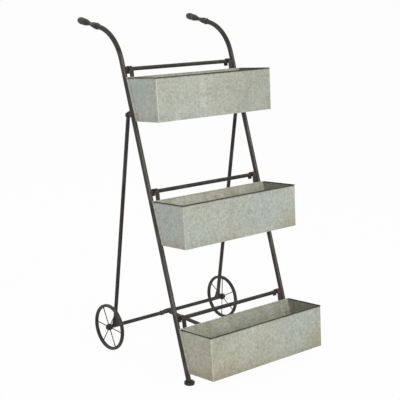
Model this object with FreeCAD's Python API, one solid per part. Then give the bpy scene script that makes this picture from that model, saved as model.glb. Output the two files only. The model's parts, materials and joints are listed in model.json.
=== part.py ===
"""Folding flower cart stand with three hanging sheet-metal planters.

Units are millimetres and degrees. X runs along the cross bars, Y runs from the planters in
front to the wheels behind, and Z is up. The origin lies on the floor, below the middle of the
whole stand. Two measures follow the sloping rails: "along" runs up the rail line from the
floor, and "behind" is square to the plane of the rails, positive towards the wheels.
"""
import FreeCAD
import Part
import math
import os

# Rails
RAIL_TRACK = 461.0            # between the centre lines of the two rails
RAIL_LEAN = 19.6              # backward lean from the vertical
RAIL_DIAMETER = 15.9
RAIL_WALL = 1.2
RAIL_STRAIGHT = 1032.0        # floor to the start of the handle bend, along the rail
BEND_RADIUS = 144.5
BEND_SWEEP = 62.5
HANDLE_STRAIGHT = 4.5         # tube between the bend and the ferrule

# Feet
FOOT_DIAMETER = 33.0
FOOT_HEIGHT = 10.0
FOOT_EDGE_RADIUS = 2.4
FOOT_SEAT = 4.0               # height of the rail's cut end inside the foot

# Turned handle ends: a ferrule on the tube, then a grip, each measured from its own start
FERRULE_LENGTH = 46.5
FERRULE_SOCKET = 20.0         # depth of the tube inside the ferrule
FERRULE_LIP_WALL = 1.0        # walls are measured over the rail's tube
FERRULE_GROOVE_WALL = 1.55
FERRULE_RING_WALL = 3.15
FERRULE_BUD_WALL = 2.15
FERRULE_RING_AT = 7.5
FERRULE_RING_WIDTH = 4.0
FERRULE_BUD_AT = 20.0         # fullest section of the bud behind the ring
NECK_RADIUS = 5.9
GRIP_BARREL_AT = 29.5
GRIP_BARREL_RADIUS = 11.0
GRIP_GROOVE_AT = 42.0
GRIP_GROOVE_RADIUS = 9.9
GRIP_KNOB_AT = 45.0
GRIP_KNOB_RADIUS = 11.5
GRIP_DOME_AT = 50.0
GRIP_LENGTH = 70.5

# Cross bars, welded between the rails
BAR_DIAMETER = 12.7
BAR_WALL = 1.2
TOP_BAR_ALONG = 1002.0
MIDDLE_BAR_ALONG = 608.0
BOTTOM_BAR_ALONG = 203.7

# Rear frame
WHEEL_RADIUS = 78.0
AXLE_REACH = 392.4            # from the rails' floor line back to the axle
AXLE_DIAMETER = 12.7
AXLE_WALL = 1.2
AXLE_OVERHANG = 5.2           # axle tube past the outer side of each leg
LEG_DIAMETER = 12.7
LEG_WALL = 1.2
LEG_COPE_RISE = 2.5           # the coped end stops this far above the axle's centre
PIVOT_ALONG = 861.0
PIVOT_ROOM = 5.65             # between the leg's eye and the bracket's web
EYE_RADIUS = 8.3
EYE_THICKNESS = 6.0
EYE_SHANK = 11.0              # flattened length between the eye and the round tube
EYE_TAPER = 12.0              # length over which the round tube flattens
EAR_THICKNESS = 2.4
EAR_BASE_HALF = 11.5          # half the bracket's length where it meets the rail
WEB_THICKNESS = 2.4
BOLT_RADIUS = 3.0
BOLT_HEAD_RADIUS = 7.6
BOLT_HEAD_HEIGHT = 3.8
NUT_ACROSS_FLATS = 10.0
NUT_HEIGHT = 5.0

# Wheels
RIM_DEPTH = 9.6               # radial
RIM_WIDTH = 11.5
RIM_EDGE_RADIUS = 3.6
SPOKE_COUNT = 6
SPOKE_RADIUS = 1.6
NIPPLE_RADIUS = 3.0
NIPPLE_LENGTH = 7.0
LEFT_SPOKE_ANGLE = 1.0        # of the first spoke, from +Y towards +Z
RIGHT_SPOKE_ANGLE = 30.0
HUB_DRUM_RADIUS = 11.0
HUB_DRUM_WIDTH = 10.0
HUB_BOSS_RADIUS = 7.0
HUB_WIDTH = 16.0
JOURNAL_RADIUS = 4.0
SHOULDER_STEP = 0.65          # shoulder above the axle tube
SHOULDER_WIDTH = 2.4
STUB_PLUG_LENGTH = 25.0
HUB_CAP_RADIUS = 7.2
HUB_CAP_LENGTH = 4.0

# Centre stay between the lower bar and the axle
STAY_DIAMETER = 12.7
STAY_WALL = 1.2
STAY_SLEEVE_LENGTH = 38.0
STAY_SLEEVE_WALL = 1.9
SADDLE_LENGTH = 43.0
SADDLE_WALL = 1.7
SADDLE_SWELL = 2.0            # extra thickness at the middle of the saddle
SADDLE_LIP_ANGLE = 110.0      # how far the rear lip wraps round the axle, from the top
STAY_LIFT_RATIO = 2.5         # the stay swings up this much faster than the legs fold
COLLAR_WALL = 1.55
COLLAR_LENGTH = 12.0

# Planters
PLANTER_OVERHANG = 6.7        # rim past the centre lines of the rails
PLANTER_END_DRAFT = 1.9       # each end leans in by this much at the bottom
PLANTER_TOP_DEPTH = 148.7
PLANTER_HEIGHT = 134.0        # square to the rim
PLANTER_TILT = 5.7            # front rim higher than the back rim
PLANTER_SHEET = 1.0
CORNER_LAP = 12.0             # flanges of the front and back walls, lapped on the ends
PLANTER_DROP = 31.8           # bar centre down to the back rim, along the rails
PLANTER_STANDOFF = 15.1       # rail plane to the back wall's rear face
RIM_BEAD_RADIUS = 1.5

# Hook straps
STRAP_INSET = 22.0            # rail centre line to the strap's middle
STRAP_WIDTH = 14.5
STRAP_THICKNESS = 3.0
HOOK_RADIUS = 10.0            # inside the bend over the bar
HOOK_LEAN = 11.0              # the hook's straight sides, from the vertical
STRAP_TAIL = 11.0             # straight end behind the bar
STRAP_DROP = 26.0             # straight front run before the strap cranks forward
STRAP_CRANK_FOOT = 13.0       # rim to the end of the crank, along the rails
STRAP_LAP = 58.0              # rim to the strap's lower end, along the rails
STRAP_BEND_RADIUS = 5.0       # at both bends of the crank
RIVET_RADIUS = 2.0
RIVET_HEAD_RADIUS = 3.6
RIVET_HEAD_HEIGHT = 1.4
RIVET_COUNT = 2               # in each strap
RIVET_PITCH = 13.0
RIVET_END = 9.0               # last rivet to the strap's lower end

# Clearances
RUNNING_CLEARANCE = 0.08      # radial, in a turning fit
SIDE_CLEARANCE = 0.3          # between parts that move past each other
HOOK_CLEARANCE = 0.3          # between a hook and the bar that it hangs on

# Values that follow from the ones above
LEAN_SIN = math.sin(math.radians(RAIL_LEAN))
LEAN_COS = math.cos(math.radians(RAIL_LEAN))
TILT_SIN = math.sin(math.radians(PLANTER_TILT))
TILT_COS = math.cos(math.radians(PLANTER_TILT))
HANDLE_ANGLE = RAIL_LEAN + BEND_SWEEP
HANDLE_SIN = math.sin(math.radians(HANDLE_ANGLE))
HANDLE_COS = math.cos(math.radians(HANDLE_ANGLE))
RAIL_RADIUS = RAIL_DIAMETER / 2
BAR_RADIUS = BAR_DIAMETER / 2
AXLE_RADIUS = AXLE_DIAMETER / 2
LEG_RADIUS = LEG_DIAMETER / 2
STAY_RADIUS = STAY_DIAMETER / 2
RAIL_X = RAIL_TRACK / 2
PIVOT_BEHIND = RAIL_RADIUS + WEB_THICKNESS + PIVOT_ROOM + EYE_RADIUS
AXLE_TUBE_HALF = RAIL_X + LEG_RADIUS + AXLE_OVERHANG
WHEEL_X = AXLE_TUBE_HALF + SHOULDER_WIDTH + SIDE_CLEARANCE + HUB_WIDTH / 2
LOWER_BAR_ALONG = WHEEL_RADIUS / LEAN_COS    # level with the axle, so the stay lies level
PLANTER_SETBACK = PLANTER_HEIGHT * math.tan(math.radians(RAIL_LEAN - PLANTER_TILT))
BAR_ALONGS = {"top": TOP_BAR_ALONG, "middle": MIDDLE_BAR_ALONG, "bottom": BOTTOM_BAR_ALONG}

# The stand reaches from the lowest planter's front edge to the handles' ends
HANDLE_REACH = HANDLE_STRAIGHT + FERRULE_LENGTH + GRIP_LENGTH
GRIP_DOME_LENGTH = GRIP_LENGTH - GRIP_DOME_AT
REAR_REACH = (
    RAIL_STRAIGHT * LEAN_SIN
    + BEND_RADIUS * (LEAN_COS - HANDLE_COS)
    + (HANDLE_REACH - GRIP_DOME_LENGTH) * HANDLE_SIN
    + math.hypot(GRIP_DOME_LENGTH * HANDLE_SIN, GRIP_KNOB_RADIUS * HANDLE_COS)
)
FRONT_REACH = (
    (BOTTOM_BAR_ALONG - PLANTER_DROP) * LEAN_SIN
    - PLANTER_STANDOFF * LEAN_COS
    - PLANTER_TOP_DEPTH * TILT_COS
    - PLANTER_HEIGHT * TILT_SIN
)
FLOOR_LINE_Y = -(REAR_REACH + FRONT_REACH) / 2
AXLE_Y = FLOOR_LINE_Y + AXLE_REACH

X_AXIS = FreeCAD.Vector(1, 0, 0)
Z_AXIS = FreeCAD.Vector(0, 0, 1)
UP_RAIL = FreeCAD.Vector(0, LEAN_SIN, LEAN_COS)
BEHIND_RAIL = FreeCAD.Vector(0, LEAN_COS, -LEAN_SIN)
HOOK_UP = FreeCAD.Vector(0, math.sin(math.radians(HOOK_LEAN)), math.cos(math.radians(HOOK_LEAN)))
HOOK_BEHIND = FreeCAD.Vector(0, HOOK_UP.z, -HOOK_UP.y)
ALONG_HANDLE = FreeCAD.Vector(0, HANDLE_SIN, HANDLE_COS)


def rail_point(x, along, behind=0.0):
    """Point given by its distances along and behind the sloping rails."""
    return FreeCAD.Vector(x, FLOOR_LINE_Y, 0) + UP_RAIL * along + BEHIND_RAIL * behind


def axle_point(x):
    return FreeCAD.Vector(x, AXLE_Y, WHEEL_RADIUS)


def pivot_point(x):
    return rail_point(x, PIVOT_ALONG, PIVOT_BEHIND)


# Small builders

def rod(start, end, radius):
    axis = end - start
    return Part.makeCylinder(radius, axis.Length, start, axis)


def tube(start, end, radius, wall):
    return rod(start, end, radius).cut(rod(start, end, radius - wall))


def cross_rod(center, length, radius):
    """Round bar of the given length along X, centred on a point."""
    half = X_AXIS * (length / 2)
    return rod(center - half, center + half, radius)


def ring(center, length, radius, bore_radius):
    return cross_rod(center, length, radius).cut(cross_rod(center, length, bore_radius))


def plate(points, thickness, axis=X_AXIS):
    """Flat plate from a closed outline of points, thickened both ways along an axis."""
    face = Part.Face(Part.makePolygon(points + [points[0]]))
    face.translate(axis * (-thickness / 2))
    return face.extrude(axis * thickness)


def turned(edges, origin, axis):
    """Solid of revolution: edges in the local XY plane, turned about local X.

    Local X is laid along the given axis, starting at the origin.
    """
    profile = Part.Face(Part.Wire(edges))
    solid = profile.revolve(FreeCAD.Vector(0, 0, 0), X_AXIS, 360)
    solid.Placement = FreeCAD.Placement(origin, FreeCAD.Rotation(X_AXIS, axis))
    return solid


def flat(x, y):
    return FreeCAD.Vector(x, y, 0)


def line(start, end):
    return Part.LineSegment(start, end).toShape()


def arc(start, middle, end):
    return Part.Arc(start, middle, end).toShape()


def dome(start, radius, height):
    """Edge of a dome that closes a turned shape on its axis."""
    sphere = (radius * radius + height * height) / (2 * height)
    center = start + height - sphere
    half_angle = math.asin(radius / sphere) / 2
    middle = flat(center + sphere * math.cos(half_angle), sphere * math.sin(half_angle))
    return arc(flat(start, radius), middle, flat(start + height, 0))


def rounded_path(points, radius):
    """Edges through a list of points, with an arc of the given radius at each inner one."""
    edges = []
    start = points[0]
    for corner, after in zip(points[1:], points[2:]):
        back = (start - corner).normalize()
        ahead = (after - corner).normalize()
        half_angle = back.getAngle(ahead) / 2
        reach = radius / math.tan(half_angle)
        to_center = (back + ahead).normalize()
        middle = corner + to_center * (radius / math.sin(half_angle) - radius)
        edges.append(line(start, corner + back * reach))
        edges.append(arc(corner + back * reach, middle, corner + ahead * reach))
        start = corner + ahead * reach
    edges.append(line(start, points[-1]))
    return edges


def curve(points):
    spline = Part.BSplineCurve()
    spline.interpolate(points)
    return spline.toShape()


def one_solid(shape):
    return shape.removeSplitter()


# Front frame

def rail_envelope(x, radius):
    """Solid bar along a rail's centre line, from below the floor to the handle's end."""
    foot = rail_point(x, -RAIL_DIAMETER)
    bend_start = rail_point(x, RAIL_STRAIGHT)
    bend_center = rail_point(x, RAIL_STRAIGHT, BEND_RADIUS)
    bend_end = handle_point(x, -HANDLE_STRAIGHT)
    handle_end = handle_point(x, FERRULE_SOCKET)
    disc = Part.Face(Part.Wire(Part.makeCircle(radius, bend_start, UP_RAIL)))
    bend = disc.revolve(bend_center, X_AXIS * -1, BEND_SWEEP)
    body = rod(foot, bend_start, radius).fuse([bend, rod(bend_end, handle_end, radius)])
    return one_solid(body)


def handle_point(x, past_flange):
    """Point on the handle's axis, measured from the ferrule's flange."""
    center = rail_point(x, RAIL_STRAIGHT, BEND_RADIUS)
    to_bend_end = FreeCAD.Vector(0, -HANDLE_COS, HANDLE_SIN) * BEND_RADIUS
    return center + to_bend_end + ALONG_HANDLE * (HANDLE_STRAIGHT + past_flange)


def make_rail(x):
    rail = rail_envelope(x, RAIL_RADIUS).cut(rail_envelope(x, RAIL_RADIUS - RAIL_WALL))
    below = Part.makeBox(
        FOOT_DIAMETER,
        FOOT_DIAMETER,
        FOOT_DIAMETER + FOOT_SEAT,
        FreeCAD.Vector(x - FOOT_DIAMETER / 2, FLOOR_LINE_Y - FOOT_DIAMETER / 2, -FOOT_DIAMETER),
    )
    return rail.cut(below)


def make_foot(x):
    """Round pad with a softened upper edge and a slanting socket for the rail."""
    edge = FOOT_EDGE_RADIUS
    radius = FOOT_DIAMETER / 2
    bevel = edge * (1 - math.sqrt(0.5))
    outline = [
        line(flat(0, 0), flat(0, radius - edge / 2)),
        line(flat(0, radius - edge / 2), flat(edge / 2, radius)),
        line(flat(edge / 2, radius), flat(FOOT_HEIGHT - edge, radius)),
        arc(
            flat(FOOT_HEIGHT - edge, radius),
            flat(FOOT_HEIGHT - bevel, radius - bevel),
            flat(FOOT_HEIGHT, radius - edge),
        ),
        line(flat(FOOT_HEIGHT, radius - edge), flat(FOOT_HEIGHT, 0)),
        line(flat(FOOT_HEIGHT, 0), flat(0, 0)),
    ]
    pad = turned(outline, FreeCAD.Vector(x, FLOOR_LINE_Y, 0), Z_AXIS)
    socket = rod(rail_point(x, -RAIL_DIAMETER), rail_point(x, FOOT_HEIGHT * 3), RAIL_RADIUS)
    floor = Part.makeCylinder(FOOT_DIAMETER, FOOT_SEAT, FreeCAD.Vector(x, FLOOR_LINE_Y, 0))
    return pad.cut(socket.cut(floor))


def make_ferrule(x):
    """Turned ferrule: a lip on the tube, a raised ring, then a bud that narrows to the neck."""
    lip = flat(0, RAIL_RADIUS + FERRULE_LIP_WALL)
    groove_radius = RAIL_RADIUS + FERRULE_GROOVE_WALL
    bud_radius = RAIL_RADIUS + FERRULE_BUD_WALL
    ring_start = flat(FERRULE_RING_AT, groove_radius)
    ring_crest = flat(
        FERRULE_RING_AT + FERRULE_RING_WIDTH / 2,
        RAIL_RADIUS + FERRULE_RING_WALL,
    )
    ring_end = flat(FERRULE_RING_AT + FERRULE_RING_WIDTH, groove_radius)
    groove_end = flat(FERRULE_RING_AT + FERRULE_RING_WIDTH * 5 / 4, groove_radius)
    taper = flat(
        (FERRULE_BUD_AT + FERRULE_LENGTH) / 2,
        (bud_radius + NECK_RADIUS + FERRULE_LIP_WALL) / 2,
    )
    outline = [
        line(flat(0, RAIL_RADIUS), lip),
        line(lip, ring_start),
        arc(ring_start, ring_crest, ring_end),
        line(ring_end, groove_end),
        curve([
            groove_end,
            flat(FERRULE_BUD_AT, bud_radius),
            taper,
            flat(FERRULE_LENGTH, NECK_RADIUS),
        ]),
        line(flat(FERRULE_LENGTH, NECK_RADIUS), flat(FERRULE_LENGTH, 0)),
        line(flat(FERRULE_LENGTH, 0), flat(FERRULE_SOCKET, 0)),
        line(flat(FERRULE_SOCKET, 0), flat(FERRULE_SOCKET, RAIL_RADIUS)),
        line(flat(FERRULE_SOCKET, RAIL_RADIUS), flat(0, RAIL_RADIUS)),
    ]
    return turned(outline, handle_point(x, 0), ALONG_HANDLE)


def make_grip(x):
    """Turned grip: slim neck, full barrel, a groove and a domed end knob."""
    flare_at = GRIP_BARREL_AT / 2
    flare_radius = (NECK_RADIUS + GRIP_BARREL_RADIUS) / 2
    ellipse = Part.Ellipse(flat(GRIP_DOME_AT, 0), GRIP_DOME_LENGTH, GRIP_KNOB_RADIUS)
    outline = [
        line(flat(0, 0), flat(0, NECK_RADIUS)),
        curve([
            flat(0, NECK_RADIUS),
            flat(flare_at, flare_radius),
            flat(GRIP_BARREL_AT, GRIP_BARREL_RADIUS),
            flat(GRIP_GROOVE_AT, GRIP_GROOVE_RADIUS),
        ]),
        line(flat(GRIP_GROOVE_AT, GRIP_GROOVE_RADIUS), flat(GRIP_KNOB_AT, GRIP_KNOB_RADIUS)),
        line(flat(GRIP_KNOB_AT, GRIP_KNOB_RADIUS), flat(GRIP_DOME_AT, GRIP_KNOB_RADIUS)),
        Part.ArcOfEllipse(ellipse, 0, math.pi / 2).toShape(),
        line(flat(GRIP_LENGTH, 0), flat(0, 0)),
    ]
    return turned(outline, handle_point(x, FERRULE_LENGTH), ALONG_HANDLE)


def make_cross_bar(along):
    """Tube between the rails, its ends coped to sit round them."""
    ends = [rail_point(side * RAIL_X, along) for side in (-1, 1)]
    bar = tube(ends[0], ends[1], BAR_RADIUS, BAR_WALL)
    reach = UP_RAIL * BAR_DIAMETER
    for end in ends:
        bar = bar.cut(rod(end - reach, end + reach, RAIL_RADIUS))
    return bar


def make_pivot_bracket(x):
    """Bracket on the back of a rail: two rounded ears joined by a web, drilled for the bolt."""
    gap = EYE_THICKNESS + 2 * SIDE_CLEARANCE
    base_low = rail_point(x, PIVOT_ALONG - EAR_BASE_HALF)
    base_high = rail_point(x, PIVOT_ALONG + EAR_BASE_HALF)
    top_low = pivot_point(x) - UP_RAIL * EYE_RADIUS
    top_high = pivot_point(x) + UP_RAIL * EYE_RADIUS
    crown = pivot_point(x) + BEHIND_RAIL * EYE_RADIUS
    outline = [
        line(base_low, top_low),
        arc(top_low, crown, top_high),
        line(top_high, base_high),
        line(base_high, base_low),
    ]
    ear = Part.Face(Part.Wire(outline))
    block = ear.copy()
    block.translate(X_AXIS * (-gap / 2 - EAR_THICKNESS))
    block = block.extrude(X_AXIS * (gap + 2 * EAR_THICKNESS))
    web_back = RAIL_RADIUS + WEB_THICKNESS
    slot = plate(
        [
            rail_point(x, PIVOT_ALONG - 2 * EAR_BASE_HALF, web_back),
            rail_point(x, PIVOT_ALONG + 2 * EAR_BASE_HALF, web_back),
            rail_point(x, PIVOT_ALONG + 2 * EAR_BASE_HALF, PIVOT_BEHIND + 2 * EYE_RADIUS),
            rail_point(x, PIVOT_ALONG - 2 * EAR_BASE_HALF, PIVOT_BEHIND + 2 * EYE_RADIUS),
        ],
        gap,
    )
    reach = UP_RAIL * (2 * EAR_BASE_HALF)
    rail = rod(rail_point(x, PIVOT_ALONG) - reach, rail_point(x, PIVOT_ALONG) + reach, RAIL_RADIUS)
    hole = cross_rod(pivot_point(x), RAIL_TRACK / 4, BOLT_RADIUS)
    return block.cut([slot, rail, hole])


def bracket_half_width():
    return EYE_THICKNESS / 2 + SIDE_CLEARANCE + EAR_THICKNESS


def make_pivot_bolt(side):
    """Bolt with a domed head on the outer side of a bracket."""
    center = pivot_point(side * RAIL_X)
    outward = X_AXIS * side
    seat = center + outward * bracket_half_width()
    shank = rod(center - outward * (bracket_half_width() + NUT_HEIGHT), seat, BOLT_RADIUS)
    edge = BOLT_HEAD_HEIGHT / 4
    outline = [
        line(flat(0, 0), flat(0, BOLT_HEAD_RADIUS)),
        line(flat(0, BOLT_HEAD_RADIUS), flat(edge, BOLT_HEAD_RADIUS)),
        dome(edge, BOLT_HEAD_RADIUS, BOLT_HEAD_HEIGHT - edge),
        line(flat(BOLT_HEAD_HEIGHT, 0), flat(0, 0)),
    ]
    head = turned(outline, seat, outward)
    return one_solid(head.fuse(shank))


def make_pivot_nut(side):
    """Hexagon nut on the inner side of a bracket."""
    inward = X_AXIS * -side
    start = pivot_point(side * RAIL_X) + inward * bracket_half_width()
    corner = NUT_ACROSS_FLATS / math.sqrt(3)
    corners = []
    for step in range(6):
        angle = math.radians(60 * step)
        offset = FreeCAD.Vector(0, corner * math.cos(angle), corner * math.sin(angle))
        corners.append(start + offset)
    nut = Part.Face(Part.makePolygon(corners + [corners[0]])).extrude(inward * NUT_HEIGHT)
    return nut.cut(cross_rod(start, 4 * NUT_HEIGHT, BOLT_RADIUS))


# Rear frame

def make_leg(side):
    """Leg tube with its top pressed flat into an eye and its lower end coped on the axle."""
    top = pivot_point(side * RAIL_X)
    axle = axle_point(side * RAIL_X)
    down = (axle - top).normalize()
    foot = axle - down * LEG_COPE_RISE
    across = X_AXIS.cross(down)
    flat_half = EYE_THICKNESS / 2
    slope = EYE_TAPER / (LEG_RADIUS - flat_half)
    taper_run = slope * (LEG_DIAMETER - flat_half)
    cheeks = []
    for way in (X_AXIS, X_AXIS * -1):
        cheek = [
            top + way * flat_half - down * EYE_SHANK,
            top + way * flat_half + down * EYE_SHANK,
            top + way * LEG_DIAMETER + down * (EYE_SHANK + taper_run),
            top + way * LEG_DIAMETER - down * EYE_SHANK,
        ]
        cheeks.append(plate(cheek, 2 * LEG_DIAMETER, across))
    body = rod(top, foot, LEG_RADIUS).cut(cheeks)
    body = one_solid(body.fuse(cross_rod(top, EYE_THICKNESS, EYE_RADIUS)))
    bore = rod(top + down * (EYE_SHANK + EYE_TAPER), foot, LEG_RADIUS - LEG_WALL)
    hole = cross_rod(top, 2 * EYE_THICKNESS, BOLT_RADIUS + RUNNING_CLEARANCE)
    seat = cross_rod(axle, 2 * LEG_DIAMETER, AXLE_RADIUS)
    return body.cut([bore, hole, seat])


def make_axle():
    return ring(axle_point(0), 2 * AXLE_TUBE_HALF, AXLE_RADIUS, AXLE_RADIUS - AXLE_WALL)


def make_axle_stub(side):
    """Solid end of the axle: a plug in the tube, a shoulder and the wheel's journal."""
    out = X_AXIS * side
    tube_end = axle_point(side * AXLE_TUBE_HALF)
    shoulder_end = tube_end + out * SHOULDER_WIDTH
    journal_end = axle_point(side * (WHEEL_X + HUB_WIDTH / 2 + SIDE_CLEARANCE + HUB_CAP_LENGTH / 2))
    plug = rod(tube_end - out * STUB_PLUG_LENGTH, tube_end, AXLE_RADIUS - AXLE_WALL)
    shoulder = rod(tube_end, shoulder_end, AXLE_RADIUS + SHOULDER_STEP)
    journal = rod(shoulder_end, journal_end, JOURNAL_RADIUS)
    return one_solid(plug.fuse([shoulder, journal]))


def make_hub_cap(side):
    """Domed nut that holds the wheel on the journal."""
    start = axle_point(side * (WHEEL_X + HUB_WIDTH / 2 + SIDE_CLEARANCE))
    half = HUB_CAP_LENGTH / 2
    outline = [
        line(flat(0, 0), flat(0, HUB_CAP_RADIUS)),
        line(flat(0, HUB_CAP_RADIUS), flat(half, HUB_CAP_RADIUS)),
        dome(half, HUB_CAP_RADIUS, half),
        line(flat(HUB_CAP_LENGTH, 0), flat(0, 0)),
    ]
    cap = turned(outline, start, X_AXIS * side)
    return cap.cut(rod(start, start + X_AXIS * (side * half), JOURNAL_RADIUS))


def make_collars(center, bar_radius, gap_half):
    """Pair of collars that keep a sleeve in the middle of its bar."""
    offset = gap_half + SIDE_CLEARANCE + COLLAR_LENGTH / 2
    collars = []
    for side in (-1, 1):
        place = center + X_AXIS * (side * offset)
        collars.append(ring(place, COLLAR_LENGTH, bar_radius + COLLAR_WALL, bar_radius))
    return Part.makeCompound(collars)


# Wheels

def make_rim(side):
    """Wheel rim of a rounded section, turned about the axle."""
    half = RIM_WIDTH / 2
    edge = RIM_EDGE_RADIUS
    inner = WHEEL_RADIUS - RIM_DEPTH
    bevel = edge * (1 - math.sqrt(0.5))
    corners = [(1, WHEEL_RADIUS, -1), (1, inner, 1), (-1, inner, 1), (-1, WHEEL_RADIUS, -1)]
    points = []
    for end, radius, inward in corners:
        on_face = flat(end * half, radius + inward * edge)
        middle = flat(end * (half - bevel), radius + inward * bevel)
        on_tread = flat(end * (half - edge), radius)
        points.append((on_face, middle, on_tread))
    outer_right, inner_right, inner_left, outer_left = points
    outline = [
        arc(outer_right[2], outer_right[1], outer_right[0]),
        line(outer_right[0], inner_right[0]),
        arc(inner_right[0], inner_right[1], inner_right[2]),
        line(inner_right[2], inner_left[2]),
        arc(inner_left[2], inner_left[1], inner_left[0]),
        line(inner_left[0], outer_left[0]),
        arc(outer_left[0], outer_left[1], outer_left[2]),
        line(outer_left[2], outer_right[2]),
    ]
    return turned(outline, axle_point(side * WHEEL_X), X_AXIS)


def make_hub(side):
    """Hub with a wide drum for the spokes and a narrower boss on each side."""
    drum = HUB_DRUM_WIDTH / 2
    half = HUB_WIDTH / 2
    slope = (HUB_DRUM_RADIUS - HUB_BOSS_RADIUS) / 2
    bore = JOURNAL_RADIUS + RUNNING_CLEARANCE
    path = [
        flat(-half, bore),
        flat(-half, HUB_BOSS_RADIUS),
        flat(-drum, HUB_BOSS_RADIUS),
        flat(-drum + slope / 2, HUB_DRUM_RADIUS),
        flat(drum - slope / 2, HUB_DRUM_RADIUS),
        flat(drum, HUB_BOSS_RADIUS),
        flat(half, HUB_BOSS_RADIUS),
        flat(half, bore),
    ]
    outline = [line(start, end) for start, end in zip(path, path[1:] + path[:1])]
    return turned(outline, axle_point(side * WHEEL_X), X_AXIS)


def make_spokes(side):
    """Thin spokes from the hub's drum to the rim, each with a tapered nipple at the rim."""
    center = axle_point(side * WHEEL_X)
    first = LEFT_SPOKE_ANGLE if side < 0 else RIGHT_SPOKE_ANGLE
    rim_inside = WHEEL_RADIUS - RIM_DEPTH
    drum = cross_rod(center, HUB_WIDTH, HUB_DRUM_RADIUS)
    bore = cross_rod(center, 2 * RIM_WIDTH, rim_inside)
    out = FreeCAD.Vector(0, 1, 0)
    wire = rod(center, center + out * WHEEL_RADIUS, SPOKE_RADIUS)
    nipple_base = center + out * (rim_inside - NIPPLE_LENGTH)
    nipple = Part.makeCone(SPOKE_RADIUS, NIPPLE_RADIUS, NIPPLE_LENGTH + 1, nipple_base, out)
    pattern = one_solid(wire.fuse(nipple).cut(drum).common(bore))
    spokes = []
    for number in range(SPOKE_COUNT):
        spoke = pattern.copy()
        spoke.rotate(center, X_AXIS, first + number * 360.0 / SPOKE_COUNT)
        spokes.append(spoke)
    return Part.makeCompound(spokes)


# Centre stay

def saddle_solid():
    """Saddle before it is opened: a sleeve on the axle that swells at its middle."""
    half = SADDLE_LENGTH / 2
    end_radius = AXLE_RADIUS + HOOK_CLEARANCE + SADDLE_WALL
    outline = [
        line(flat(-half, 0), flat(-half, end_radius)),
        arc(flat(-half, end_radius), flat(0, end_radius + SADDLE_SWELL), flat(half, end_radius)),
        line(flat(half, end_radius), flat(half, 0)),
        line(flat(half, 0), flat(-half, 0)),
    ]
    return turned(outline, axle_point(0), X_AXIS)


def axle_escape():
    """Space that the axle sweeps as the legs start to fold and the stay lifts off it."""
    axle = axle_point(0)
    lower_bar = rail_point(0, LOWER_BAR_ALONG)
    arm = pivot_point(0) - axle
    forward = FreeCAD.Vector(0, -arm.z, arm.y)
    lift = (axle - lower_bar).Length * STAY_LIFT_RATIO
    path = forward - Z_AXIS * lift
    path.normalize()
    radius = AXLE_RADIUS + HOOK_CLEARANCE
    side = X_AXIS.cross(path) * radius
    reach = path * (4 * AXLE_DIAMETER)
    corners = [axle + side, axle + side + reach, axle - side + reach, axle - side]
    return plate(corners, 2 * SADDLE_LENGTH).fuse(cross_rod(axle, 2 * SADDLE_LENGTH, radius))


def make_saddle():
    """Open hook over the axle: a short front wall and a lip that reaches round the back."""
    axle = axle_point(0)
    angle = math.radians(SADDLE_LIP_ANGLE)
    rear = FreeCAD.Vector(0, math.sin(angle), math.cos(angle)) * (4 * AXLE_DIAMETER)
    below = FreeCAD.Vector(0, 0, -4 * AXLE_DIAMETER)
    opening = plate([axle, axle + rear, axle + below + rear, axle + below], 2 * SADDLE_LENGTH)
    return saddle_solid().cut([axle_escape(), opening])


def make_stay():
    """Level tube from the sleeve on the lower bar to the saddle on the axle."""
    start = rail_point(0, LOWER_BAR_ALONG)
    end = axle_point(0)
    bar = tube(start, end, STAY_RADIUS, STAY_WALL)
    sleeve_radius = BAR_RADIUS + RUNNING_CLEARANCE + STAY_SLEEVE_WALL
    sleeve = cross_rod(start, STAY_SLEEVE_LENGTH, sleeve_radius)
    return bar.cut([sleeve, saddle_solid(), axle_escape()])


def make_stay_sleeve():
    bore = BAR_RADIUS + RUNNING_CLEARANCE
    center = rail_point(0, LOWER_BAR_ALONG)
    return ring(center, STAY_SLEEVE_LENGTH, bore + STAY_SLEEVE_WALL, bore)


# Planters

def planter_frame(along):
    """Back rim's middle and the directions forward and down inside a hanging planter."""
    origin = rail_point(0, along - PLANTER_DROP, -PLANTER_STANDOFF)
    forward = FreeCAD.Vector(0, -TILT_COS, TILT_SIN)
    down = FreeCAD.Vector(0, -TILT_SIN, -TILT_COS)
    return origin, forward, down


def planter_section(along, depth_below_rim, inset):
    """Outline of the box at a depth below its rim, pulled in from its faces by an inset."""
    origin, forward, down = planter_frame(along)
    share = depth_below_rim / PLANTER_HEIGHT
    half = RAIL_X + PLANTER_OVERHANG - PLANTER_END_DRAFT * share - inset
    back = PLANTER_SETBACK * share + inset / math.cos(math.radians(RAIL_LEAN - PLANTER_TILT))
    front = PLANTER_TOP_DEPTH - inset
    middle = origin + down * depth_below_rim
    corners = [
        middle + forward * back - X_AXIS * half,
        middle + forward * front - X_AXIS * half,
        middle + forward * front + X_AXIS * half,
        middle + forward * back + X_AXIS * half,
    ]
    return corners


def tapered_block(upper, lower):
    """Solid between two four-cornered outlines, closed by flat faces."""
    outlines = [upper, lower]
    for here in range(4):
        after = (here + 1) % 4
        outlines.append([upper[here], upper[after], lower[after], lower[here]])
    faces = [Part.Face(Part.makePolygon(points + [points[0]])) for points in outlines]
    return Part.Solid(Part.Shell(faces))


def strap_xs():
    return [side * (RAIL_X - STRAP_INSET) for side in (-1, 1)]


def rivet_places(along):
    """Rivet centres on the rear face of a planter's back wall."""
    lowest = along - PLANTER_DROP - STRAP_LAP + RIVET_END
    places = []
    for x in strap_xs():
        for number in range(RIVET_COUNT):
            places.append(rail_point(x, lowest + number * RIVET_PITCH, -PLANTER_STANDOFF))
    return places


def rivet_holes(along):
    reach = BEHIND_RAIL * (2 * STRAP_THICKNESS)
    return [rod(place - reach, place + reach, RIVET_RADIUS) for place in rivet_places(along)]


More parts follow.
